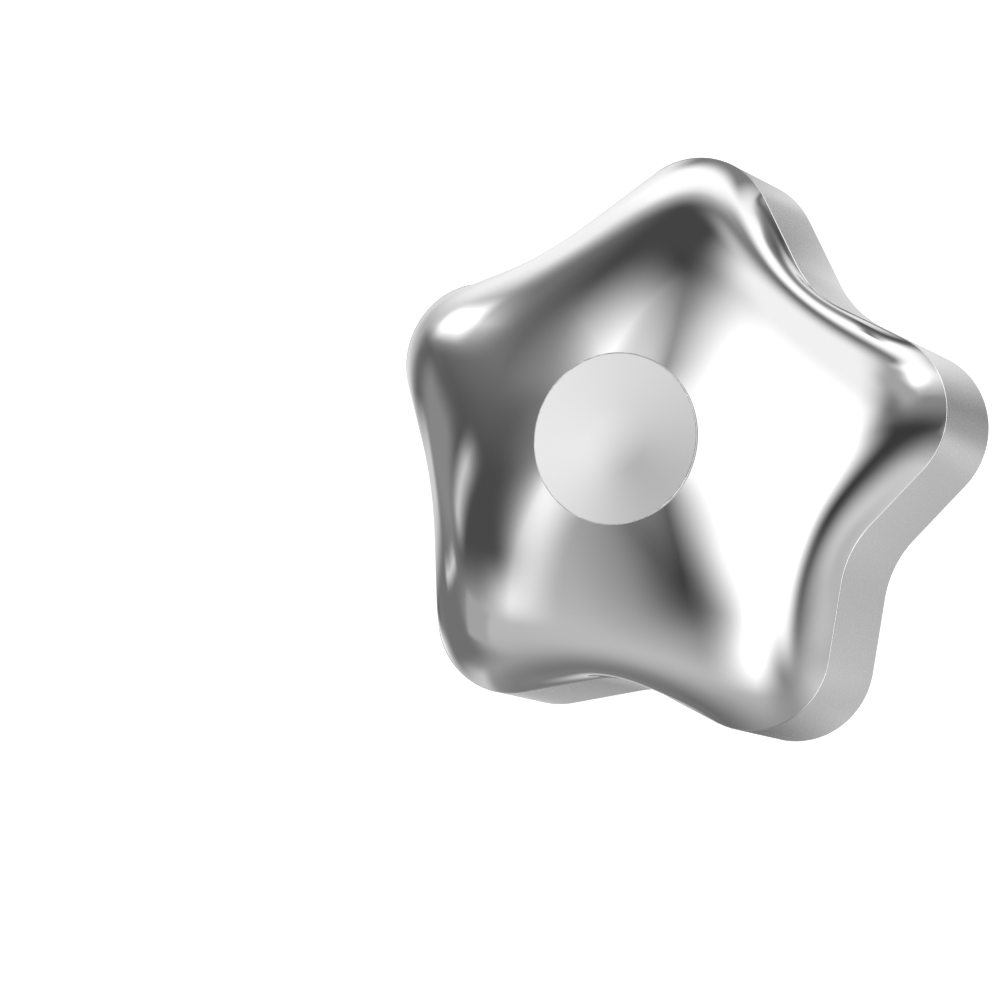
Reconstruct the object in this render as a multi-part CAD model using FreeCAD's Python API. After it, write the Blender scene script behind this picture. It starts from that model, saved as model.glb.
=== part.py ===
"""Metal star knob with five lobes, a flanged threaded bushing and a cover disc.

Millimetres. The origin is the centre of the bushing's end face, where the knob
meets the thing that it tightens. +Z runs along the axis towards the crown, and
one lobe points along +X.
"""
import FreeCAD, Part
import math
import os

from FreeCAD import Vector

# Star head: outline
LOBE_COUNT = 5
STAR_RADIUS = 25.0           # axis to the tip of a lobe
LOBE_TIP_RADIUS = 6.7        # round end of a lobe
VALLEY_DISTANCE = 18.8       # axis to the bottom of a valley
VALLEY_RADIUS = 8.8          # hollow between two lobes

# Star head: flank and crown
FLANK_HEIGHT = 11.7          # upright wall, from the back face to the crease
CREASE_STEP = 0.06           # the polished crown starts this much inside the flank
CROWN_HEIGHT = 10.3          # crease to the rim round the cover disc
LOBE_RISE = 4.0              # height at which the wall of the crown bends over, at a lobe
LOBE_LEAN = 1.95             # its inward lean up to there
LOBE_REACH = 12.0            # radial length along which a lobe's back follows the slope at the rim
LOBE_SLOPE = 10.5            # that slope, in degrees from level
VALLEY_RISE = 4.8            # the same four in a valley
VALLEY_LEAN = 0.17
VALLEY_REACH = 14.3
VALLEY_SLOPE = 11.7
WAVE_SOFTNESS = 0.88         # share of a plain wave in the lobes above the shoulder
WAVE_BLEND = 0.35            # part of the crown's curve over which it comes in
CROWN_STATIONS = 12          # sections that the crown is lofted through
OUTLINE_POINTS_PER_LOBE = 16
CROWN_RUN_IN = 1.5           # crown surface carried on inside the disc's edge

# Cover disc
DISC_RADIUS = 7.05
DISC_THICKNESS = 1.5
DISC_PROUD = 0.3             # stands above the crown's rim
DISC_DISH_DEPTH = 0.3        # the middle of its face lies this much below the foot of its lip
DISC_LIP_WIDTH = 0.2         # slight upturned lip round the face
DISC_LIP_RISE = 0.02
DISC_EDGE_ROUND = 0.03
DISC_SIDE_CLEARANCE = 0.01

# Bushing: hub, flange and shank
HUB_RADIUS = 9.4
HUB_EDGE_BREAK = 0.25
HUB_LENGTH = 23.2            # end face to the head's back face
FLANGE_BASE_RADIUS = 13.6
FLANGE_RIM_RADIUS = 12.5
FLANGE_RIM_HEIGHT = 1.8      # above the head's back face
HUB_FOOT_HEIGHT = 2.6        # where the hub rises out of the flange
HUB_FOOT_ROUND = 0.4
SHANK_RADIUS = 8.0           # pressed into the head
SHANK_LENGTH = 13.0
SHANK_LEAD_IN = 0.6
SHANK_CLEARANCE = 0.01       # radial, for the solids to stay apart
SHANK_END_GAP = 0.5          # free depth of the head's bore past the shank

# Tapped bore of the bushing, for an M10 screw
THREAD_CORE_RADIUS = 4.25
COUNTERSINK_RADIUS = 6.1
COUNTERSINK_ANGLE = 90.0
BORE_DEPTH = 26.0            # end face to the end of the full bore
DRILL_POINT_ANGLE = 118.0

BACK_FACE_Z = HUB_LENGTH
CREASE_Z = BACK_FACE_Z + FLANK_HEIGHT
RIM_Z = CREASE_Z + CROWN_HEIGHT
HALF_PITCH = math.pi / LOBE_COUNT


class StarOutline:
    """Lobe arc, tangent line and valley arc of one half pitch of the star."""

    def __init__(self):
        self.lobe_centre = STAR_RADIUS - LOBE_TIP_RADIUS
        self.valley_centre = VALLEY_DISTANCE + VALLEY_RADIUS
        valley_x = self.valley_centre * math.cos(HALF_PITCH)
        valley_y = self.valley_centre * math.sin(HALF_PITCH)
        reach = math.hypot(valley_x - self.lobe_centre, valley_y)
        bearing = math.atan2(valley_y, valley_x - self.lobe_centre)
        self.normal = bearing - math.acos((LOBE_TIP_RADIUS + VALLEY_RADIUS) / reach)
        self.lobe_end = (
            self.lobe_centre + LOBE_TIP_RADIUS * math.cos(self.normal),
            LOBE_TIP_RADIUS * math.sin(self.normal),
        )
        self.valley_start = (
            valley_x - VALLEY_RADIUS * math.cos(self.normal),
            valley_y - VALLEY_RADIUS * math.sin(self.normal),
        )

    def radius_at(self, angle):
        """Distance from the axis to the outline in a direction, in radians."""
        pitch = 2 * HALF_PITCH
        off = abs((angle + HALF_PITCH) % pitch - HALF_PITCH)
        if off < math.atan2(self.lobe_end[1], self.lobe_end[0]):
            side = self.lobe_centre * math.sin(off)
            return self.lobe_centre * math.cos(off) + math.sqrt(LOBE_TIP_RADIUS**2 - side**2)
        if off < math.atan2(self.valley_start[1], self.valley_start[0]):
            line_distance = self.lobe_centre * math.cos(self.normal) + LOBE_TIP_RADIUS
            return line_distance / math.cos(off - self.normal)
        side = self.valley_centre * math.sin(HALF_PITCH - off)
        return self.valley_centre * math.cos(HALF_PITCH - off) - math.sqrt(VALLEY_RADIUS**2 - side**2)

    def lobe_share(self, angle):
        """1 at the tip of a lobe, 0 at the bottom of a valley."""
        return (self.radius_at(angle) - VALLEY_DISTANCE) / (STAR_RADIUS - VALLEY_DISTANCE)


def turned(x, y, angle, z):
    """Point (x, y) turned about the axis, at height z."""
    cos_a, sin_a = math.cos(angle), math.sin(angle)
    return Vector(x * cos_a - y * sin_a, x * sin_a + y * cos_a, z)


def star_wire(outline, z):
    """The star at height z, from tangent arcs and lines."""
    edges = []
    lobe_x, lobe_y = outline.lobe_end
    valley_x, valley_y = outline.valley_start
    next_x = valley_x * math.cos(2 * HALF_PITCH) + valley_y * math.sin(2 * HALF_PITCH)
    next_y = valley_x * math.sin(2 * HALF_PITCH) - valley_y * math.cos(2 * HALF_PITCH)
    next_lobe = turned(lobe_x, -lobe_y, 2 * HALF_PITCH, 0.0)
    valley_mid = turned(VALLEY_DISTANCE, 0.0, HALF_PITCH, 0.0)
    for lobe in range(LOBE_COUNT):
        turn = 2 * HALF_PITCH * lobe
        start = turned(lobe_x, -lobe_y, turn, z)
        tip = turned(STAR_RADIUS, 0.0, turn, z)
        end = turned(lobe_x, lobe_y, turn, z)
        valley_in = turned(valley_x, valley_y, turn, z)
        valley_bottom = turned(valley_mid.x, valley_mid.y, turn, z)
        valley_out = turned(next_x, next_y, turn, z)
        following = turned(next_lobe.x, next_lobe.y, turn, z)
        edges.append(Part.Arc(start, tip, end).toShape())
        edges.append(Part.makeLine(end, valley_in))
        edges.append(Part.Arc(valley_in, valley_bottom, valley_out).toShape())
        edges.append(Part.makeLine(valley_out, following))
    return Part.Wire(edges)


def bezier(start, first, second, end, t):
    """Value of a cubic curve at t, from 0 at its start to 1 at its end."""
    s = 1.0 - t
    return s**3 * start + 3 * s * s * t * first + 3 * s * t * t * second + t**3 * end


def crown_curve(start, rise, lean, reach, slope, t):
    """Radius and height on a section of the crown, from the crease at t = 0 to the rim at t = 1."""
    drop = reach * math.tan(math.radians(slope))
    radius = bezier(start, start - lean, DISC_RADIUS + reach, DISC_RADIUS, t)
    z = bezier(CREASE_Z, CREASE_Z + rise, RIM_Z - drop, RIM_Z, t)
    return radius, z


def crown_point(outline, t, angle):
    """Point of the crown at an angle, between its sections at a lobe and in a valley."""
    lobe_radius, lobe_z = crown_curve(
        STAR_RADIUS - CREASE_STEP, LOBE_RISE, LOBE_LEAN, LOBE_REACH, LOBE_SLOPE, t
    )
    valley_radius, valley_z = crown_curve(
        VALLEY_DISTANCE - CREASE_STEP, VALLEY_RISE, VALLEY_LEAN, VALLEY_REACH, VALLEY_SLOPE, t
    )
    blend = min(1.0, t / WAVE_BLEND)
    softness = WAVE_SOFTNESS * blend * blend * (3.0 - 2.0 * blend)
    wave = (1.0 + math.cos(LOBE_COUNT * angle)) / 2.0
    share = outline.lobe_share(angle) * (1.0 - softness) + wave * softness
    radius = valley_radius + (lobe_radius - valley_radius) * share
    z = valley_z + (lobe_z - valley_z) * share
    return Vector(radius * math.cos(angle), radius * math.sin(angle), z)


def smooth_ring(points):
    """Smooth closed curve through points."""
    curve = Part.BSplineCurve()
    curve.interpolate(Points=points, PeriodicFlag=True)
    return Part.Wire([curve.toShape()])


def crown_solid(outline):
    """Polished crown, lofted from the crease to just inside the disc's recess."""
    count = LOBE_COUNT * OUTLINE_POINTS_PER_LOBE
    angles = [2 * math.pi * index / count for index in range(count)]
    rings = []
    for station in range(CROWN_STATIONS + 1):
        t = station / CROWN_STATIONS
        rings.append(smooth_ring([crown_point(outline, t, angle) for angle in angles]))
    inside = DISC_RADIUS - CROWN_RUN_IN
    inside_z = RIM_Z + CROWN_RUN_IN * math.tan(math.radians(LOBE_SLOPE))
    rings.append(smooth_ring([turned(inside, 0.0, angle, inside_z) for angle in angles]))
    return Part.makeLoft(rings, True, False)


def star_head():
    """Cast head: star flank, polished crown, disc recess and blind bushing bore."""
    outline = StarOutline()
    flank = Part.Face(star_wire(outline, BACK_FACE_Z)).extrude(Vector(0, 0, FLANK_HEIGHT))
    head = flank.fuse(crown_solid(outline))
    recess_floor = RIM_Z + DISC_PROUD - DISC_THICKNESS
    recess_height = DISC_THICKNESS + CROWN_RUN_IN
    recess = Part.makeCylinder(
        DISC_RADIUS + DISC_SIDE_CLEARANCE, recess_height, Vector(0, 0, recess_floor)
    )
    bore = Part.makeCylinder(
        SHANK_RADIUS + SHANK_CLEARANCE, SHANK_LENGTH + SHANK_END_GAP, Vector(0, 0, BACK_FACE_Z)
    )
    return head.cut(recess).cut(bore)


def turned_solid(profile):
    """Solid of revolution about Z from (radius, height) points."""
    points = [Vector(radius, 0, height) for radius, height in profile]
    face = Part.Face(Part.makePolygon(points + points[:1]))
    return face.revolve(Vector(0, 0, 0), Vector(0, 0, 1), 360)


def edges_of_circle(solid, radius, height):
    """Full circular edges of a solid with this radius at this height."""
    found = []
    for edge in solid.Edges:
        curve = edge.Curve
        if not isinstance(curve, Part.Circle):
            continue
        if abs(curve.Radius - radius) < 1e-6 and abs(curve.Center.z - height) < 1e-6:
            found.append(edge)
    return found


def threaded_bushing():
    """Turned bushing: hub, seating flange, pressed shank and tapped blind bore."""
    foot_z = BACK_FACE_Z - HUB_FOOT_HEIGHT
    rim_z = BACK_FACE_Z - FLANGE_RIM_HEIGHT
    shank_end = BACK_FACE_Z + SHANK_LENGTH
    body = turned_solid([
        (0.0, 0.0),
        (HUB_RADIUS - HUB_EDGE_BREAK, 0.0),
        (HUB_RADIUS, HUB_EDGE_BREAK),
        (HUB_RADIUS, foot_z),
        (FLANGE_RIM_RADIUS, rim_z),
        (FLANGE_BASE_RADIUS, BACK_FACE_Z),
        (SHANK_RADIUS, BACK_FACE_Z),
        (SHANK_RADIUS, shank_end - SHANK_LEAD_IN),
        (SHANK_RADIUS - SHANK_LEAD_IN, shank_end),
        (0.0, shank_end),
    ])
    body = body.makeFillet(HUB_FOOT_ROUND, edges_of_circle(body, HUB_RADIUS, foot_z))
    sink = math.tan(math.radians(COUNTERSINK_ANGLE / 2))
    point = math.tan(math.radians(DRILL_POINT_ANGLE / 2))
    sink_depth = (COUNTERSINK_RADIUS - THREAD_CORE_RADIUS) / sink
    cutter = turned_solid([
        (0.0, 0.0),
        (COUNTERSINK_RADIUS, 0.0),
        (THREAD_CORE_RADIUS, sink_depth),
        (THREAD_CORE_RADIUS, BORE_DEPTH),
        (0.0, BORE_DEPTH + THREAD_CORE_RADIUS / point),
    ])
    return body.cut(cutter)


def cover_disc():
    """Turned disc with a shallow dished face, let into the crown with its edge just proud."""
    top = RIM_Z + DISC_PROUD
    face_edge = top - DISC_LIP_RISE
    disc = turned_solid([
        (0.0, top - DISC_THICKNESS),
        (DISC_RADIUS, top - DISC_THICKNESS),
        (DISC_RADIUS, top),
        (DISC_RADIUS - DISC_LIP_WIDTH, face_edge),
        (0.0, face_edge - DISC_DISH_DEPTH),
    ])
    return disc.makeFillet(DISC_EDGE_ROUND, edges_of_circle(disc, DISC_RADIUS, top))


def main():
    os.makedirs("parts", exist_ok=True)
    pieces = {
        "star_head": star_head(),
        "threaded_bushing": threaded_bushing(),
        "cover_disc": cover_disc(),
    }
    for node, solid in pieces.items():
        solid.exportStep("parts/%s.step" % node)
        print(node, "volume %.1f mm3" % solid.Volume, "solids", len(solid.Solids), "valid", solid.isValid())


main()
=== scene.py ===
"""Finishes of a steel star knob, with its tapped thread, its studio and its camera.

Metres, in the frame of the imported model: the knob stands on its hub's end face, which is the
level z = 0, its axis is Z and one lobe points along +X.
"""
import math
from collections import namedtuple

import bmesh
import bpy
from bpy.props import FloatProperty, FloatVectorProperty, IntProperty, PointerProperty
from bpy.types import Operator, Panel, PropertyGroup
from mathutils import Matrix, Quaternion, Vector


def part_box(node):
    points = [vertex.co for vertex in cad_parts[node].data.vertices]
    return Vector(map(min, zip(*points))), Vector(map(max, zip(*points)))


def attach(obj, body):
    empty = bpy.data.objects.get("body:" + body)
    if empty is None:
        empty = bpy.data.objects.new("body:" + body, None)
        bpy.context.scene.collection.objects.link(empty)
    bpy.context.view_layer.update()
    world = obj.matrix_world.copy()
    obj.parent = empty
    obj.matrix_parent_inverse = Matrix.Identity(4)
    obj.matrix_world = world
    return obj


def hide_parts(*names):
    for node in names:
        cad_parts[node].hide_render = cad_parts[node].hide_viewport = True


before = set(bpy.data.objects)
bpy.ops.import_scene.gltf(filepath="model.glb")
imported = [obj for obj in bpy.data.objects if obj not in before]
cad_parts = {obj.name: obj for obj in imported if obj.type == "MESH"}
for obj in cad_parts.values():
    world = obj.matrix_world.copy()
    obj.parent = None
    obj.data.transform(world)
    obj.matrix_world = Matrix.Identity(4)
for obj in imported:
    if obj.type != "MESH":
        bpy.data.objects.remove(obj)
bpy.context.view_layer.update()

bl_info = {
    "name": "Star knob",
    "version": (1, 0, 0),
    "blender": (4, 5, 0),
    "location": "3D View > Sidebar > Star knob",
    "description": "Makes the finished pieces of a steel star knob and its studio",
    "category": "Add Mesh",
}

MM = 0.001
FULL_TURN = 2.0 * math.pi

# Steps and small measures of the meshes
MERGE_DISTANCE = 0.0005 * MM
SUPPORT = 0.03 * MM                     # flat stretch kept beside a round
FINE_ROUND = 0.02 * MM                  # edges that are only just broken
ROUND_STEPS = 4
BACK_EDGE_STEPS = 5
FLANK_ROWS = 8
DISH_STEPS = 12
THREAD_ROWS_PER_TURN = 12
FLOOR_STEPS = 96
HALF_THREAD_ANGLE = math.radians(30.0)
UPRIGHT = 0.1                           # faces whose normal rises less than this stand upright

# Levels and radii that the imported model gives
HEAD_LOW, HEAD_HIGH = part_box("star_head")
BUSHING_LOW, BUSHING_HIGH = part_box("threaded_bushing")
DISC_LOW, DISC_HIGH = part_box("cover_disc")
STAR_RADIUS = HEAD_HIGH.x
BACK_FACE_Z = HEAD_LOW.z
RIM_Z = HEAD_HIGH.z
FLANGE_BASE_RADIUS = BUSHING_HIGH.x
SHANK_END_Z = BUSHING_HIGH.z
DISC_RADIUS = DISC_HIGH.x
DISC_TOP_Z = DISC_HIGH.z
DISC_FLOOR_Z = DISC_LOW.z


def length(name, description, default):
    """Size in metres that a user may change."""
    return FloatProperty(name=name, description=description, default=default, unit="LENGTH", precision=5)


def angle(name, description, degrees):
    """Angle that a user may change."""
    turn = math.radians(degrees)
    return FloatProperty(name=name, description=description, default=turn, subtype="ANGLE")


def share(name, description, default):
    """Plain number from 0 to 1 that a user may change."""
    return FloatProperty(
        name=name, description=description, default=default, min=0.0, max=1.0, subtype="FACTOR"
    )


def grey(name, description, level):
    """Colour that a user may change, grey at first."""
    return FloatVectorProperty(
        name=name, description=description, default=(level, level, level), subtype="COLOR"
    )


class HeadSizes(PropertyGroup):
    """Sizes of the star head."""

    lobes: IntProperty(name="Lobes", description="Number of lobes", default=5, min=3)
    lobe_tip_radius: length("Lobe tip radius", "Round end of a lobe", 6.7 * MM)
    valley_distance: length("Valley distance", "Axis to the bottom of a valley", 18.8 * MM)
    valley_radius: length("Valley radius", "Hollow between two lobes", 8.8 * MM)
    flank_height: length("Flank height", "Upright wall below the crown", 11.7 * MM)
    back_edge_round: length("Back edge round", "Round between back face and flank", 0.18 * MM)
    crease_step: length("Crease step", "How far the crown starts inside the flank", 0.06 * MM)
    crease_round: length("Crease round", "Height of the flank's broken top edge", 0.07 * MM)
    lobe_rise: length("Lobe rise", "Height at which a lobe bends over", 4.0 * MM)
    lobe_lean: length("Lobe lean", "Inward lean of a lobe up to its bend", 1.95 * MM)
    lobe_reach: length("Lobe reach", "Radial length along the slope at the rim, on a lobe", 12.0 * MM)
    lobe_slope: angle("Lobe slope", "Slope at the rim, on a lobe", 10.5)
    valley_rise: length("Valley rise", "Height at which a valley bends over", 4.8 * MM)
    valley_lean: length("Valley lean", "Inward lean of a valley up to its bend", 0.17 * MM)
    valley_reach: length("Valley reach", "Radial length along that slope, in a valley", 14.3 * MM)
    valley_slope: angle("Valley slope", "Slope at the rim, in a valley", 11.7)
    wave_softness: share("Wave softness", "Share of a plain wave in the lobes above the shoulder", 0.88)
    wave_blend: share("Wave blend", "Part of the crown's curve over which the wave comes in", 0.35)
    bore_radius: length("Bore radius", "Hole that holds the bushing's shank", 8.01 * MM)
    bore_end_gap: length("Bore end gap", "Free depth past the shank", 0.5 * MM)
    segments: IntProperty(name="Segments", description="Steps round the star", default=400, min=60)
    crown_rings: IntProperty(name="Crown rings", description="Steps up the crown", default=180, min=12)


class BushingSizes(PropertyGroup):
    """Sizes of the turned and tapped bushing."""

    hub_radius: length("Hub radius", "Round post", 9.4 * MM)
    hub_edge_round: length("Hub edge round", "Round at the end face", 0.25 * MM)
    foot_height: length("Foot height", "Back face to the foot of the hub", 2.6 * MM)
    foot_round: length("Foot round", "Hollow round at the foot of the hub", 0.4 * MM)
    flange_rim_radius: length("Flange rim radius", "Edge between cone and bevel", 12.5 * MM)
    flange_rim_height: length("Flange rim height", "Back face to that edge", 1.8 * MM)
    flange_edge_round: length("Flange edge round", "Round on the flange's edges", 0.08 * MM)
    shank_radius: length("Shank radius", "Pressed into the head", 8.0 * MM)
    shank_lead_in: length("Shank lead-in", "Chamfer at the end of the shank", 0.6 * MM)
    core_radius: length("Core radius", "Crests of the tapped thread", 4.25 * MM)
    major_radius: length("Major radius", "Roots of the tapped thread", 5.0 * MM)
    pitch: length("Pitch", "Rise of the thread in one turn", 1.5 * MM)
    thread_depth: length("Thread depth", "End face to the end of the full thread", 23.0 * MM)
    bore_depth: length("Bore depth", "End face to the end of the full bore", 26.0 * MM)
    drill_point: length("Drill point", "Height of the cone at the end of the bore", 2.55 * MM)
    countersink_radius: length("Countersink radius", "Mouth of the bore", 6.1 * MM)
    segments: IntProperty(name="Segments", description="Steps round the bushing", default=144, min=48)


class DiscSizes(PropertyGroup):
    """Sizes of the cover disc."""

    edge_round: length("Edge round", "Round at the disc's top edge", 0.03 * MM)
    lip_width: length("Lip width", "Slight upturned lip round the face", 0.1 * MM)
    lip_rise: length("Lip rise", "Height of the lip", 0.02 * MM)
    lip_foot_round: length("Lip foot round", "Hollow round at the foot of the lip", 0.1 * MM)
    dish_depth: length("Dish depth", "Lip's foot down to the tip of its shallow cone", 0.3 * MM)
    dish_middle: share("Dish middle", "Share of the radius over which the tip is rounded", 0.4)
    segments: IntProperty(name="Segments", description="Steps round the disc", default=192, min=48)


class SteelFinish(PropertyGroup):
    """Colour and polish of the steel."""

    steel_colour: grey("Steel colour", "Colour of bare steel", 0.80)
    polish: share("Polish roughness", "Roughness of the mirror-polished crown", 0.05)
    satin: share("Satin roughness", "Roughness of the flanks and the back face", 0.27)
    turned: share("Turned roughness", "Roughness of the turned hub", 0.2)
    disc_colour: grey("Disc colour", "Colour of the cover disc", 0.90)
    disc: share("Disc roughness", "Roughness of the cover disc", 0.12)
    # Darker colour of the disc's upright side: painted shade of the narrow gap between disc and crown
    side_shade_colour: grey("Cut colour", "Colour of the disc's cut edge", 0.35)
    cut: share("Cut roughness", "Roughness of the disc's cut edge", 0.4)


class StudioSizes(PropertyGroup):
    """Camera, floor and brightness of the studio."""

    camera_distance: length("Camera distance", "Camera to the point it looks at", 450.0 * MM)
    camera_azimuth: angle("Camera azimuth", "0 looks along +Y", -8.331)
    camera_elevation: angle("Camera elevation", "Height above the horizon", 67.052)
    camera_roll: angle("Camera roll", "Turn of the camera about its line of sight", -72.894)
    lens: FloatProperty(name="Lens", description="Focal length", default=193.37, unit="CAMERA")
    sensor: FloatProperty(name="Sensor", description="Sensor width", default=36.0, unit="CAMERA")
    floor_radius: length("Floor radius", "Radius of the pale floor", 3.0)
    floor_colour: share("Floor colour", "Paleness of the floor", 0.8)
    floor_fill: FloatProperty(name="Floor fill", description="White added to the seen floor", default=0.6)
    knob_middle: length("Knob middle", "Height from which the cards on the floor are seen", 35.0 * MM)
    room_light: share("Room light", "Brightness of the studio between its cards", 0.2)


def polar_angle(point):
    """Angle of a point about the axis, from +X."""
    return math.atan2(point.y, point.x)


def on_circle(radius, height):
    """Place of a ring's points: a circle round the axis."""
    return lambda turn: Vector((radius * math.cos(turn), radius * math.sin(turn), height))


def first_ring(bm, segments, place):
    """Closed ring of edges, with each point where place says for its angle."""
    made = bmesh.ops.create_circle(bm, cap_ends=False, radius=1.0, segments=segments)
    for vert in made["verts"]:
        vert.co = place(polar_angle(vert.co))
    return list(bm.edges)


def next_ring(bm, ring, place, finish=0):
    """Ring grown from the last one. The band of faces between them takes a finish."""
    grown = bmesh.ops.extrude_edge_only(bm, edges=ring)["geom"]
    verts = {item for item in grown if isinstance(item, bmesh.types.BMVert)}
    for vert in verts:
        vert.co = place(polar_angle(vert.co))
    for face in (item for item in grown if isinstance(item, bmesh.types.BMFace)):
        face.material_index = finish
        face.smooth = True
    edges = [item for item in grown if isinstance(item, bmesh.types.BMEdge)]
    return [edge for edge in edges if verts.issuperset(edge.verts)]


def sharpen(ring):
    """Keeps the shading on the two sides of a ring apart."""
    for edge in ring:
        edge.smooth = False


def close_ring(bm, ring, height, finish=0):
    """Closes a ring with a fan of faces round a point on the axis."""
    top = next_ring(bm, ring, lambda turn: Vector((0.0, 0.0, height)), finish)
    verts = list({vert for edge in top for vert in edge.verts})
    bmesh.ops.pointmerge(bm, verts=verts, merge_co=Vector((0.0, 0.0, height)))


def rounded_profile(corners):
    """Points (radius, height) of a profile from corners (radius, height, round).

    Each round gets an arc, and a point just outside each end of it keeps the flat
    stretches flat in their shading.
    """
    points = [Vector(corners[0][:2])]
    for before, corner, after in zip(corners, corners[1:], corners[2:]):
        here, size = Vector(corner[:2]), corner[2]
        back = (Vector(before[:2]) - here).normalized()
        onward = (Vector(after[:2]) - here).normalized()
        half = back.angle(onward) / 2.0
        tangent = size / math.tan(half)
        centre = here + (back + onward).normalized() * (size / math.sin(half))
        start, end = here + back * tangent, here + onward * tangent
        points.append(start + back * SUPPORT)
        for step in range(ROUND_STEPS + 1):
            spoke = (start - centre).lerp(end - centre, step / ROUND_STEPS).normalized() * size
            points.append(centre + spoke)
        points.append(end + onward * SUPPORT)
    points.append(Vector(corners[-1][:2]))
    return points


def finish_piece(name, bm, materials, node):
    """Makes an object of the mesh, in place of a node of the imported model."""
    bmesh.ops.remove_doubles(bm, verts=bm.verts, dist=MERGE_DISTANCE)
    bmesh.ops.recalc_face_normals(bm, faces=bm.faces)
    mesh = bpy.data.meshes.new(name)
    bm.to_mesh(mesh)
    bm.free()
    for material in materials:
        mesh.materials.append(material)
    piece = bpy.data.objects.new(name, mesh)
    bpy.context.scene.collection.objects.link(piece)
    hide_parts(node)
    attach(piece, "root")
    return piece


class StarOutline:
    """Round lobe, straight side and round valley of the star, as a radius by angle."""

    def __init__(self, sizes):
        self.half_pitch = math.pi / sizes.lobes
        self.tip = sizes.lobe_tip_radius
        self.valley = sizes.valley_radius
        self.valley_distance = sizes.valley_distance
        self.lobe_centre = STAR_RADIUS - self.tip
        self.valley_centre = self.valley_distance + self.valley
        valley_x = self.valley_centre * math.cos(self.half_pitch)
        valley_y = self.valley_centre * math.sin(self.half_pitch)
        reach = math.hypot(valley_x - self.lobe_centre, valley_y)
        bearing = math.atan2(valley_y, valley_x - self.lobe_centre)
        self.normal = bearing - math.acos((self.tip + self.valley) / reach)
        lobe_x = self.lobe_centre + self.tip * math.cos(self.normal)
        lobe_y = self.tip * math.sin(self.normal)
        side_x = valley_x - self.valley * math.cos(self.normal)
        side_y = valley_y - self.valley * math.sin(self.normal)
        self.lobe_end = math.atan2(lobe_y, lobe_x)
        self.valley_start = math.atan2(side_y, side_x)

    def radius(self, turn):
        """Distance from the axis to the outline."""
        off = abs((turn + self.half_pitch) % (2.0 * self.half_pitch) - self.half_pitch)
        if off < self.lobe_end:
            side = self.lobe_centre * math.sin(off)
            return self.lobe_centre * math.cos(off) + math.sqrt(self.tip**2 - side**2)
        if off < self.valley_start:
            line = self.lobe_centre * math.cos(self.normal) + self.tip
            return line / math.cos(off - self.normal)
        side = self.valley_centre * math.sin(self.half_pitch - off)
        return self.valley_centre * math.cos(self.half_pitch - off) - math.sqrt(self.valley**2 - side**2)

    def lobe_share(self, turn):
        """1 at the tip of a lobe, 0 at the bottom of a valley."""
        return (self.radius(turn) - self.valley_distance) / (STAR_RADIUS - self.valley_distance)

    def inset(self, distance, height):
        """Place of a ring's points: the star, drawn in by a distance."""

        def place(turn):
            radius = self.radius(turn) - distance
            return Vector((radius * math.cos(turn), radius * math.sin(turn), height))

        return place


def cubic(start, first, second, end, t):
    """Value of a cubic curve at t, from 0 at its start to 1 at its end."""
    s = 1.0 - t
    return s**3 * start + 3.0 * s * s * t * first + 3.0 * s * t * t * second + t**3 * end


def crown_curve(start, crease_z, rise, lean, reach, slope, t):
    """Radius and height on a section of the crown, from the crease at t = 0 to the rim at t = 1."""
    drop = reach * math.tan(slope)
    radius = cubic(start, start - lean, DISC_RADIUS + reach, DISC_RADIUS, t)
    height = cubic(crease_z, crease_z + rise, RIM_Z - drop, RIM_Z, t)
    return radius, height


def crown_place(outline, sizes, t):
    """Place of a crown ring's points, between the crown's sections at a lobe and in a valley."""
    crease_z = BACK_FACE_Z + sizes.flank_height
    lobe_radius, lobe_z = crown_curve(
        STAR_RADIUS - sizes.crease_step, crease_z,
        sizes.lobe_rise, sizes.lobe_lean, sizes.lobe_reach, sizes.lobe_slope, t,
    )
    valley_radius, valley_z = crown_curve(
        sizes.valley_distance - sizes.crease_step, crease_z,
        sizes.valley_rise, sizes.valley_lean, sizes.valley_reach, sizes.valley_slope, t,
    )
    blend = min(1.0, t / sizes.wave_blend)
    softness = sizes.wave_softness * blend * blend * (3.0 - 2.0 * blend)

    def place(turn):
        wave = (1.0 + math.cos(sizes.lobes * turn)) / 2.0
        part = outline.lobe_share(turn) * (1.0 - softness) + wave * softness
        radius = valley_radius + (lobe_radius - valley_radius) * part
        height = valley_z + (lobe_z - valley_z) * part
        return Vector((radius * math.cos(turn), radius * math.sin(turn), height))

    return place


SATIN, POLISHED = 0, 1

# Where the broken top edge bends, as parts of its inset and its height
CREASE_BEND_IN = 0.6
CREASE_BEND_UP = 0.9


def grow_flank(bm, outline, sizes):
    """Back edge, upright flank and broken top edge of the head. Returns the last ring."""
    size = sizes.back_edge_round
    ring = first_ring(bm, sizes.segments, outline.inset(size + SUPPORT, BACK_FACE_Z))
    for step in range(BACK_EDGE_STEPS + 1):
        lean = math.pi / 2.0 * step / BACK_EDGE_STEPS
        inset = size * (1.0 - math.sin(lean))
        height = BACK_FACE_Z + size * (1.0 - math.cos(lean))
        ring = next_ring(bm, ring, outline.inset(inset, height), SATIN)
    low = BACK_FACE_Z + size + SUPPORT
    high = BACK_FACE_Z + sizes.flank_height - sizes.crease_round
    for row in range(FLANK_ROWS + 1):
        height = low + (high - SUPPORT - low) * row / FLANK_ROWS
        ring = next_ring(bm, ring, outline.inset(0.0, height), SATIN)
    ring = next_ring(bm, ring, outline.inset(0.0, high), SATIN)
    bend = outline.inset(sizes.crease_step * CREASE_BEND_IN, high + sizes.crease_round * CREASE_BEND_UP)
    ring = next_ring(bm, ring, bend, POLISHED)
    sharpen(ring)
    return ring


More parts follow.
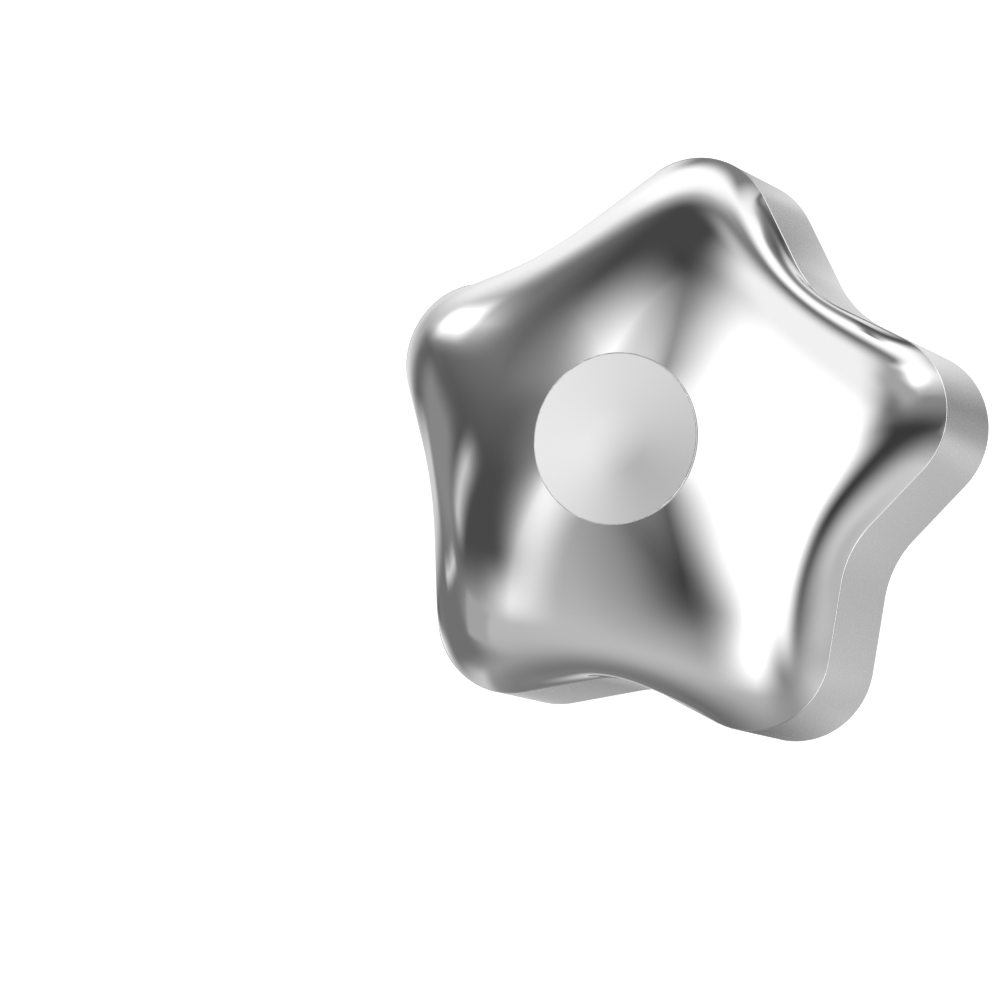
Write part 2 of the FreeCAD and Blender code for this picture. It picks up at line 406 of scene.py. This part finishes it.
def grow_crown(bm, ring, outline, sizes):
    """Polished crown and the recess for the disc. Returns the last ring, at the recess floor."""
    for station in range(sizes.crown_rings + 1):
        t = station / sizes.crown_rings
        ring = next_ring(bm, ring, crown_place(outline, sizes, t), POLISHED)
    sharpen(ring)
    ring = next_ring(bm, ring, on_circle(DISC_RADIUS, DISC_FLOOR_Z), SATIN)
    sharpen(ring)
    return ring


def head_mesh(sizes):
    """Closed mesh of the star head, grown ring by ring from the back edge."""
    bm = bmesh.new()
    outline = StarOutline(sizes)
    ring = grow_flank(bm, outline, sizes)
    ring = grow_crown(bm, ring, outline, sizes)
    close_ring(bm, ring, DISC_FLOOR_Z, SATIN)
    back = [edge for edge in bm.edges if edge.is_boundary]
    ring = next_ring(bm, back, on_circle(FLANGE_BASE_RADIUS, BACK_FACE_Z), SATIN)
    ring = next_ring(bm, ring, on_circle(sizes.bore_radius, BACK_FACE_Z), SATIN)
    ring = next_ring(bm, ring, on_circle(sizes.bore_radius, SHANK_END_Z + sizes.bore_end_gap), SATIN)
    close_ring(bm, ring, SHANK_END_Z + sizes.bore_end_gap, SATIN)
    return bm


TURNED, THREAD = 0, 1


def thread_place(sizes, height):
    """Place of a bore ring's points, on a right-handed thread that fades at its ends."""
    crest = sizes.pitch / 4.0
    flank = (sizes.major_radius - sizes.core_radius) * math.tan(HALF_THREAD_ANGLE)
    fade = max(0.0, min(1.0, (sizes.thread_depth - height) / sizes.pitch + 1.0))
    mouth = sizes.countersink_radius - height

    def place(turn):
        phase = (height - sizes.pitch * turn / FULL_TURN) % sizes.pitch
        past = abs(phase - sizes.pitch / 2.0) - crest / 2.0
        depth = max(0.0, min(1.0, past / flank)) * fade
        radius = sizes.core_radius + (sizes.major_radius - sizes.core_radius) * depth
        radius = max(radius, mouth)
        return Vector((radius * math.cos(turn), radius * math.sin(turn), height))

    return place


def bushing_profile(sizes):
    """Outside of the bushing, from the countersink to the end of the shank."""
    foot_z = BACK_FACE_Z - sizes.foot_height
    rim_z = BACK_FACE_Z - sizes.flange_rim_height
    edge = sizes.flange_edge_round
    return rounded_profile([
        (sizes.countersink_radius, 0.0, 0.0),
        (sizes.hub_radius, 0.0, sizes.hub_edge_round),
        (sizes.hub_radius, foot_z, sizes.foot_round),
        (sizes.flange_rim_radius, rim_z, edge),
        (FLANGE_BASE_RADIUS, BACK_FACE_Z, FINE_ROUND),
        (sizes.shank_radius, BACK_FACE_Z, FINE_ROUND),
        (sizes.shank_radius, SHANK_END_Z - sizes.shank_lead_in, FINE_ROUND),
        (sizes.shank_radius - sizes.shank_lead_in, SHANK_END_Z, FINE_ROUND),
        (sizes.shank_radius / 2.0, SHANK_END_Z, 0.0),
    ])


def bushing_mesh(sizes):
    """Closed mesh of the bushing: turned outside first, then the tapped bore."""
    bm = bmesh.new()
    profile = bushing_profile(sizes)
    ring = first_ring(bm, sizes.segments, on_circle(*profile[0]))
    for point in profile[1:]:
        ring = next_ring(bm, ring, on_circle(*point), TURNED)
    close_ring(bm, ring, SHANK_END_Z, TURNED)
    ring = [edge for edge in bm.edges if edge.is_boundary]
    rows = round(THREAD_ROWS_PER_TURN * sizes.bore_depth / sizes.pitch)
    for row in range(1, rows + 1):
        ring = next_ring(bm, ring, thread_place(sizes, sizes.bore_depth * row / rows), THREAD)
    close_ring(bm, ring, sizes.bore_depth + sizes.drill_point, THREAD)
    return bm


# Finishes of the disc: its face, and its upright side darkened as painted shade of the gap against the
# crown
DISC_FACE, SHADED_SIDE = 0, 1


def dish_middle(tip_z, slope, reach):
    """Points of the rounded middle of the disc's shallow cone, from the axis outwards."""
    points = []
    for step in range(DISH_STEPS):
        radius = reach * step / DISH_STEPS
        points.append((radius, tip_z + slope * (radius**2 + reach**2) / (2.0 * reach)))
    return points


def disc_mesh(sizes):
    """Closed mesh of the cover disc, spun from its profile."""
    bm = bmesh.new()
    face_radius = DISC_RADIUS - sizes.lip_width
    face_z = DISC_TOP_Z - sizes.lip_rise
    tip_z = face_z - sizes.dish_depth
    slope = sizes.dish_depth / face_radius
    reach = face_radius * sizes.dish_middle
    profile = dish_middle(tip_z, slope, reach) + rounded_profile([
        (reach, tip_z + slope * reach, 0.0),
        (face_radius, face_z, sizes.lip_foot_round),
        (DISC_RADIUS, DISC_TOP_Z, sizes.edge_round),
        (DISC_RADIUS, DISC_FLOOR_Z, FINE_ROUND),
        (0.0, DISC_FLOOR_Z, 0.0),
    ])
    verts = [bm.verts.new((radius, 0.0, height)) for radius, height in profile]
    edges = [bm.edges.new(pair) for pair in zip(verts, verts[1:])]
    bmesh.ops.spin(
        bm, geom=verts + edges, cent=(0.0, 0.0, 0.0), axis=(0.0, 0.0, 1.0),
        angle=FULL_TURN, steps=sizes.segments, use_merge=True, use_duplicate=False,
    )
    bm.normal_update()
    for face in bm.faces:
        face.smooth = True
        # Upright faces take the darker steel, painted shade of the gap against the crown
        face.material_index = SHADED_SIDE if abs(face.normal.z) < UPRIGHT else DISC_FACE
    return bm


def new_material(name):
    """Empty node material and its tree."""
    material = bpy.data.materials.new(name)
    material.use_nodes = True
    tree = material.node_tree
    tree.nodes.clear()
    return material, tree


def steel_shader(tree, colour):
    """Metal shader of bare steel, linked to the output."""
    shader = tree.nodes.new("ShaderNodeBsdfPrincipled")
    shader.inputs["Base Color"].default_value = (*colour, 1.0)
    shader.inputs["Metallic"].default_value = 1.0
    output = tree.nodes.new("ShaderNodeOutputMaterial")
    tree.links.new(shader.outputs["BSDF"], output.inputs["Surface"])
    return shader


# Grains per metre of each finish, and the octaves of finer grain in them
POLISH_GRAIN = 900.0
SATIN_GRAIN = 9000.0
TURNED_GRAIN = 1500.0
TAPPED_GRAIN = 2500.0
DISC_GRAIN = 4000.0
GRAIN_DETAIL = 3.0
ROUND_GRAIN = (1.0, 1.0, 1.0)
TURNED_RINGS = (0.1, 0.1, 4.0)          # drawn out across the axis and fine along it


def grain(tree, scale, stretch):
    """Noise on the piece's own coordinates, in grains per metre."""
    place = tree.nodes.new("ShaderNodeTexCoord")
    mapping = tree.nodes.new("ShaderNodeMapping")
    mapping.inputs["Scale"].default_value = stretch
    noise = tree.nodes.new("ShaderNodeTexNoise")
    noise.inputs["Scale"].default_value = scale
    noise.inputs["Detail"].default_value = GRAIN_DETAIL
    tree.links.new(place.outputs["Object"], mapping.inputs["Vector"])
    tree.links.new(mapping.outputs["Vector"], noise.inputs["Vector"])
    return noise.outputs["Fac"]


def vary_roughness(tree, shader, source, low, high):
    """Roughness that follows a pattern between two values."""
    spread = tree.nodes.new("ShaderNodeMapRange")
    spread.inputs["To Min"].default_value = low
    spread.inputs["To Max"].default_value = high
    tree.links.new(source, spread.inputs["Value"])
    tree.links.new(spread.outputs["Result"], shader.inputs["Roughness"])


def grained_steel(name, colour, scale, low, high, stretch=ROUND_GRAIN):
    """Steel whose roughness varies between two values, grain by grain."""
    material, tree = new_material(name)
    shader = steel_shader(tree, colour)
    vary_roughness(tree, shader, grain(tree, scale, stretch), low, high)
    return material


def polished_steel(finish):
    """Mirror polish with the faint unevenness that buffing leaves."""
    low, high = finish.polish * 0.8, finish.polish * 1.3
    return grained_steel("polished_steel", finish.steel_colour, POLISH_GRAIN, low, high)


def satin_steel(finish):
    """Fine-blasted satin of the flanks and the back face."""
    low, high = finish.satin * 0.95, finish.satin * 1.05
    return grained_steel("satin_steel", finish.steel_colour, SATIN_GRAIN, low, high)


def turned_steel(finish):
    """Fine turned finish of the bushing."""
    low, high = finish.turned * 0.8, finish.turned * 1.2
    return grained_steel("turned_steel", finish.steel_colour, TURNED_GRAIN, low, high, TURNED_RINGS)


def tapped_steel(finish):
    """Cut thread, a little rougher than the outside."""
    low, high = finish.turned, finish.turned * 1.6
    return grained_steel("tapped_steel", finish.steel_colour, TAPPED_GRAIN, low, high)


def disc_steel(finish):
    """Even satin of the cover disc."""
    low, high = finish.disc * 0.95, finish.disc * 1.05
    return grained_steel("disc_steel", finish.disc_colour, DISC_GRAIN, low, high)


def side_steel_painted_shade(finish):
    """Upright side of the cover disc, rougher than its face, and darker than it as painted shade of the
    gap against the crown.
    """
    material, tree = new_material("side_steel_painted_shade")
    shader = steel_shader(tree, finish.side_shade_colour)
    shader.inputs["Roughness"].default_value = finish.cut
    return material


Card = namedtuple("Card", "name azimuth elevation roll half_width half_height edge light")

# Soft-edged cards hung round the knob, each in front of those before it. Angles are in degrees,
# azimuth from +X towards +Y, and light is 1 where a mirror shows white. The numbers come from
# a fit to the brightness of the photographed knob and are rounded.
CARDS = [
    Card("end wall", 152, 5, -25, 53, 44, 36, 0.6),
    Card("side softbox", -46, 55, 44, 24, 47, 24, 1.1),
    Card("main softbox", -87, 65.5, -29, 19.5, 61, 34.5, 2.1),
    Card("dark side flag", -104, -63, -9, 38, 95, 35, 0.05),
    Card("dark top flag", 34.5, 40.5, 41.5, 35.5, 15, 15.5, 0.07),
    Card("narrow dark flag", 59, 80.5, 131, 5.5, 39, 22, 0.0),
    Card("small softbox", 50, 53, 9, 9, 2, 33, 2.65),
    Card("low card", -54, -79, -6, 20, 83, 10, 1.2),
    Card("narrow strip", 113, 44, 49, 3, 17, 22, 3.0),
    Card("end strip", -139, 45, 235, 27, 7, 40, 2.75),
    Card("left flag", 97, 11, -14, 18, 38, 23, 0.08),
    Card("floor card", -120, -71, -88, 62, 21, 51, 0.8),
    Card("low white card", 33, -31, 16, 34, 37, 24, 1.1),
    Card("front strip", -2, -17, 102, 12, 41, 13, 1.25),
    Card("side panel", -65, -44, 1, 12, 64, 28, 0.3),
    Card("left panel", 110, -7, -24, 30, 18, 19, 0.2),
    Card("floor strip", 142, -82, 46, 7, 75, 11, 0.75),
    Card("back shade", 176, -51, 18, 20, 54, 58, 0.15),
    Card("low floor card", 53, -67, 97, 35, 37, 19, 0.85),
    Card("back floor strip", 173, -72, 299, 5, 30, 23, 1.2),
    Card("slim card", 99, 24, 39, 2, 9, 8, 0.85),
    Card("left wall card", 93, 5, -114, 13, 11, 12, 0.3),
    Card("left bead", 108, 1, -1, 1, 8, 5, 0.9),
    Card("left sliver", 126, 10, 30, 6, 9, 4, 0.45),
    Card("left spot", 66, 2, 5, 3, 10, 10, 3.0),
    Card("left glow", 67, 4, 8, 1, 19, 19, 1.35),
    Card("low left shade", 71, -25, 18, 8, 6, 23, 0.45),
    Card("spot's edge", 80, 6, -15, 1, 25, 13, 0.1),
    Card("front flag", 5, -31, -17, 18, 11, 11, 0.25),
    Card("thin front flag", -19, -34, 10, 1, 13, 2, 0.2),
    Card("front lens", -29, -35, 47, 2, 16, 15, 0.0),
    Card("side wall card", -52, 8, -61, 13, 12, 12, 0.45),
    Card("right spot", -46, -5, -54, 8, 4, 14, 2.2),
]

# Keeps the ratio in soft_card_group finite in the direction straight away from a card
LEAST_FACING = 0.0001


def math_node(tree, operation, *values):
    """Math node of sockets or numbers. Returns its output."""
    node = tree.nodes.new("ShaderNodeMath")
    node.operation = operation
    for value, socket in zip(values, node.inputs):
        if isinstance(value, float):
            socket.default_value = value
        else:
            tree.links.new(value, socket)
    return node.outputs["Value"]


def soft_card_group():
    """Node group that hangs one soft-edged card in front of the light so far."""
    group = bpy.data.node_groups.new("soft_card", "ShaderNodeTree")
    numbers = ("Behind", "Light", "Inner width", "Outer width", "Inner height", "Outer height")
    for name in numbers:
        group.interface.new_socket(name=name, in_out="INPUT", socket_type="NodeSocketFloat")
    for name in ("Look", "Middle", "Across", "Upward"):
        group.interface.new_socket(name=name, in_out="INPUT", socket_type="NodeSocketVector")
    group.interface.new_socket(name="Light", in_out="OUTPUT", socket_type="NodeSocketFloat")
    given = group.nodes.new("NodeGroupInput")
    result = group.nodes.new("NodeGroupOutput")

    def dot(name):
        node = group.nodes.new("ShaderNodeVectorMath")
        node.operation = "DOT_PRODUCT"
        group.links.new(given.outputs["Look"], node.inputs[0])
        group.links.new(given.outputs[name], node.inputs[1])
        return node.outputs["Value"]

    def inside(name, inner, outer):
        ratio = math_node(group, "DIVIDE", math_node(group, "ABSOLUTE", dot(name)), facing)
        step = group.nodes.new("ShaderNodeMapRange")
        step.interpolation_type = "SMOOTHSTEP"
        group.links.new(ratio, step.inputs["Value"])
        group.links.new(given.outputs[outer], step.inputs["From Min"])
        group.links.new(given.outputs[inner], step.inputs["From Max"])
        return step.outputs["Result"]

    facing = math_node(group, "MAXIMUM", math_node(group, "ADD", dot("Middle"), 1.0), LEAST_FACING)
    cover = math_node(
        group, "MULTIPLY",
        inside("Across", "Inner width", "Outer width"),
        inside("Upward", "Inner height", "Outer height"),
    )
    mix = group.nodes.new("ShaderNodeMix")
    mix.data_type = "FLOAT"
    group.links.new(cover, mix.inputs[0])
    group.links.new(given.outputs["Behind"], mix.inputs[2])
    group.links.new(given.outputs["Light"], mix.inputs[3])
    group.links.new(mix.outputs[0], result.inputs["Light"])
    return group


def card_axes(card):
    """Unit vectors towards a card, across it and up it."""
    turn, rise, roll = (math.radians(value) for value in (card.azimuth, card.elevation, card.roll))
    middle = Vector((math.cos(rise) * math.cos(turn), math.cos(rise) * math.sin(turn), math.sin(rise)))
    level = Vector((-math.sin(turn), math.cos(turn), 0.0))
    steep = middle.cross(level)
    across = level * math.cos(roll) + steep * math.sin(roll)
    upward = steep * math.cos(roll) - level * math.sin(roll)
    return middle, across, upward


def half_tangent(degrees):
    """Tangent of half an angle, which is what the ratio in soft_card_group gives for it."""
    return math.tan(math.radians(degrees) / 2.0)


def hang_cards(tree, group, look, studio):
    """Light of the studio in the direction look. Returns the socket that carries it."""
    light = None
    for card in CARDS:
        node = tree.nodes.new("ShaderNodeGroup")
        node.node_tree = group
        node.label = card.name
        tree.links.new(look, node.inputs["Look"])
        for name, axis in zip(("Middle", "Across", "Upward"), card_axes(card)):
            node.inputs[name].default_value = axis
        half_edge = card.edge / 2.0
        for name, size in (("width", card.half_width), ("height", card.half_height)):
            node.inputs["Inner " + name].default_value = half_tangent(size - half_edge)
            node.inputs["Outer " + name].default_value = half_tangent(size + half_edge)
        node.inputs["Light"].default_value = card.light
        if light is None:
            node.inputs["Behind"].default_value = studio.room_light
        else:
            tree.links.new(light, node.inputs["Behind"])
        light = node.outputs["Light"]
    return light


def studio_world(studio, group):
    """White backdrop for the camera, and the studio's cards for everything else."""
    world = bpy.data.worlds.new("studio")
    world.cycles.sampling_method = "NONE"
    world.use_nodes = True
    tree = world.node_tree
    tree.nodes.clear()
    look = tree.nodes.new("ShaderNodeTexCoord").outputs["Generated"]
    cards = tree.nodes.new("ShaderNodeBackground")
    tree.links.new(hang_cards(tree, group, look, studio), cards.inputs["Color"])
    white = tree.nodes.new("ShaderNodeBackground")
    white.inputs["Color"].default_value = (1.0, 1.0, 1.0, 1.0)
    ray = tree.nodes.new("ShaderNodeLightPath")
    seen = tree.nodes.new("ShaderNodeMixShader")
    output = tree.nodes.new("ShaderNodeOutputWorld")
    tree.links.new(ray.outputs["Is Camera Ray"], seen.inputs[0])
    tree.links.new(cards.outputs["Background"], seen.inputs[1])
    tree.links.new(white.outputs["Background"], seen.inputs[2])
    tree.links.new(seen.outputs["Shader"], output.inputs["Surface"])
    bpy.context.scene.world = world


def bearing_from_knob(tree, studio):
    """Direction from the knob's middle to a point of the floor."""
    place = tree.nodes.new("ShaderNodeTexCoord")
    down = tree.nodes.new("ShaderNodeVectorMath")
    down.operation = "SUBTRACT"
    down.inputs[1].default_value = (0.0, 0.0, studio.knob_middle)
    unit = tree.nodes.new("ShaderNodeVectorMath")
    unit.operation = "NORMALIZE"
    tree.links.new(place.outputs["Object"], down.inputs[0])
    tree.links.new(down.outputs["Vector"], unit.inputs[0])
    return unit.outputs["Vector"]


def floor_paper(studio, group):
    """Pale paper that the camera sees as white, and that keeps the knob's shadow.

    A mirror sees the studio's cards on it, which reach down to the floor round the knob.
    """
    material, tree = new_material("floor_paper")
    material.cycles.emission_sampling = "NONE"
    ray = tree.nodes.new("ShaderNodeLightPath")
    paper = tree.nodes.new("ShaderNodeBsdfDiffuse")
    paper.inputs["Color"].default_value = (*[studio.floor_colour] * 3, 1.0)
    fill = tree.nodes.new("ShaderNodeEmission")
    strength = math_node(tree, "MULTIPLY", ray.outputs["Is Camera Ray"], studio.floor_fill)
    tree.links.new(strength, fill.inputs["Strength"])
    white = tree.nodes.new("ShaderNodeAddShader")
    tree.links.new(paper.outputs["BSDF"], white.inputs[0])
    tree.links.new(fill.outputs["Emission"], white.inputs[1])
    cards = tree.nodes.new("ShaderNodeEmission")
    look = bearing_from_knob(tree, studio)
    tree.links.new(hang_cards(tree, group, look, studio), cards.inputs["Color"])
    glossy, through = ray.outputs["Is Glossy Ray"], ray.outputs["Is Transmission Ray"]
    mirrored = math_node(tree, "MAXIMUM", glossy, through)
    seen = tree.nodes.new("ShaderNodeMixShader")
    tree.links.new(mirrored, seen.inputs[0])
    tree.links.new(white.outputs["Shader"], seen.inputs[1])
    tree.links.new(cards.outputs["Emission"], seen.inputs[2])
    output = tree.nodes.new("ShaderNodeOutputMaterial")
    tree.links.new(seen.outputs["Shader"], output.inputs["Surface"])
    return material


def lay_floor(studio, group):
    """Round pale floor at the level that the knob stands on."""
    bm = bmesh.new()
    bmesh.ops.create_circle(bm, cap_ends=True, radius=studio.floor_radius, segments=FLOOR_STEPS)
    mesh = bpy.data.meshes.new("floor")
    bm.to_mesh(mesh)
    bm.free()
    mesh.materials.append(floor_paper(studio, group))
    floor = bpy.data.objects.new("floor", mesh)
    bpy.context.scene.collection.objects.link(floor)


AIM = Vector((-5.54, 13.86, 34.0)) * MM     # point that the camera looks at
NEAREST_SEEN = 10.0 * MM
FARTHEST_SEEN = 20.0


def place_camera(studio):
    """Camera at the photograph's angle, distance and roll."""
    turn, rise = studio.camera_azimuth, studio.camera_elevation
    back = Vector((math.sin(turn) * math.cos(rise), -math.cos(turn) * math.cos(rise), math.sin(rise)))
    data = bpy.data.cameras.new("camera")
    data.sensor_width = studio.sensor
    data.lens = studio.lens
    data.clip_start = NEAREST_SEEN
    data.clip_end = FARTHEST_SEEN
    camera = bpy.data.objects.new("camera", data)
    bpy.context.scene.collection.objects.link(camera)
    camera.location = AIM + back * studio.camera_distance
    upright = (-back).to_track_quat("-Z", "Y")
    camera.rotation_mode = "QUATERNION"
    camera.rotation_quaternion = upright @ Quaternion((0.0, 0.0, 1.0), studio.camera_roll)
    bpy.context.scene.camera = camera


class KNOB_OT_make_head(Operator):
    """Makes the star head with its polished crown"""

    bl_idname = "knob.make_head"
    bl_label = "Star head"

    def execute(self, context):
        finish = context.scene.knob_finish
        materials = [satin_steel(finish), polished_steel(finish)]
        bm = head_mesh(context.scene.knob_head)
        finish_piece("polished_star_head", bm, materials, "star_head")
        return {"FINISHED"}


class KNOB_OT_make_bushing(Operator):
    """Makes the turned bushing with its tapped thread"""

    bl_idname = "knob.make_bushing"
    bl_label = "Tapped bushing"

    def execute(self, context):
        finish = context.scene.knob_finish
        materials = [turned_steel(finish), tapped_steel(finish)]
        bm = bushing_mesh(context.scene.knob_bushing)
        finish_piece("tapped_bushing", bm, materials, "threaded_bushing")
        return {"FINISHED"}


class KNOB_OT_make_disc(Operator):
    """Makes the cover disc in the middle of the crown"""

    bl_idname = "knob.make_disc"
    bl_label = "Cover disc"

    def execute(self, context):
        finish = context.scene.knob_finish
        materials = [disc_steel(finish), side_steel_painted_shade(finish)]
        bm = disc_mesh(context.scene.knob_disc)
        finish_piece("satin_cover_disc", bm, materials, "cover_disc")
        return {"FINISHED"}


class KNOB_OT_make_studio(Operator):
    """Makes the floor, the light and the camera"""

    bl_idname = "knob.make_studio"
    bl_label = "Studio"

    def execute(self, context):
        studio = context.scene.knob_studio
        context.scene.view_settings.view_transform = "Standard"
        group = soft_card_group()
        lay_floor(studio, group)
        studio_world(studio, group)
        place_camera(studio)
        return {"FINISHED"}


class KNOB_PT_panel(Panel):
    """Lists what makes the knob, piece by piece"""

    bl_idname = "KNOB_PT_panel"
    bl_label = "Star knob"
    bl_space_type = "VIEW_3D"
    bl_region_type = "UI"
    bl_category = "Star knob"

    def draw(self, context):
        for operator in OPERATORS:
            self.layout.operator(operator.bl_idname)


SETTINGS = {
    "knob_head": HeadSizes,
    "knob_bushing": BushingSizes,
    "knob_disc": DiscSizes,
    "knob_finish": SteelFinish,
    "knob_studio": StudioSizes,
}
OPERATORS = (KNOB_OT_make_head, KNOB_OT_make_bushing, KNOB_OT_make_disc, KNOB_OT_make_studio)


def register():
    for group in SETTINGS.values():
        bpy.utils.register_class(group)
    for name, group in SETTINGS.items():
        setattr(bpy.types.Scene, name, PointerProperty(type=group))
    for operator in OPERATORS:
        bpy.utils.register_class(operator)
    bpy.utils.register_class(KNOB_PT_panel)


def unregister():
    bpy.utils.unregister_class(KNOB_PT_panel)
    for operator in reversed(OPERATORS):
        bpy.utils.unregister_class(operator)
    for name in SETTINGS:
        delattr(bpy.types.Scene, name)
    for group in SETTINGS.values():
        bpy.utils.unregister_class(group)


def main():
    """Makes every piece and the studio."""
    register()
    bpy.ops.knob.make_head()
    bpy.ops.knob.make_bushing()
    bpy.ops.knob.make_disc()
    bpy.ops.knob.make_studio()


if __name__ == "__main__":
    main()
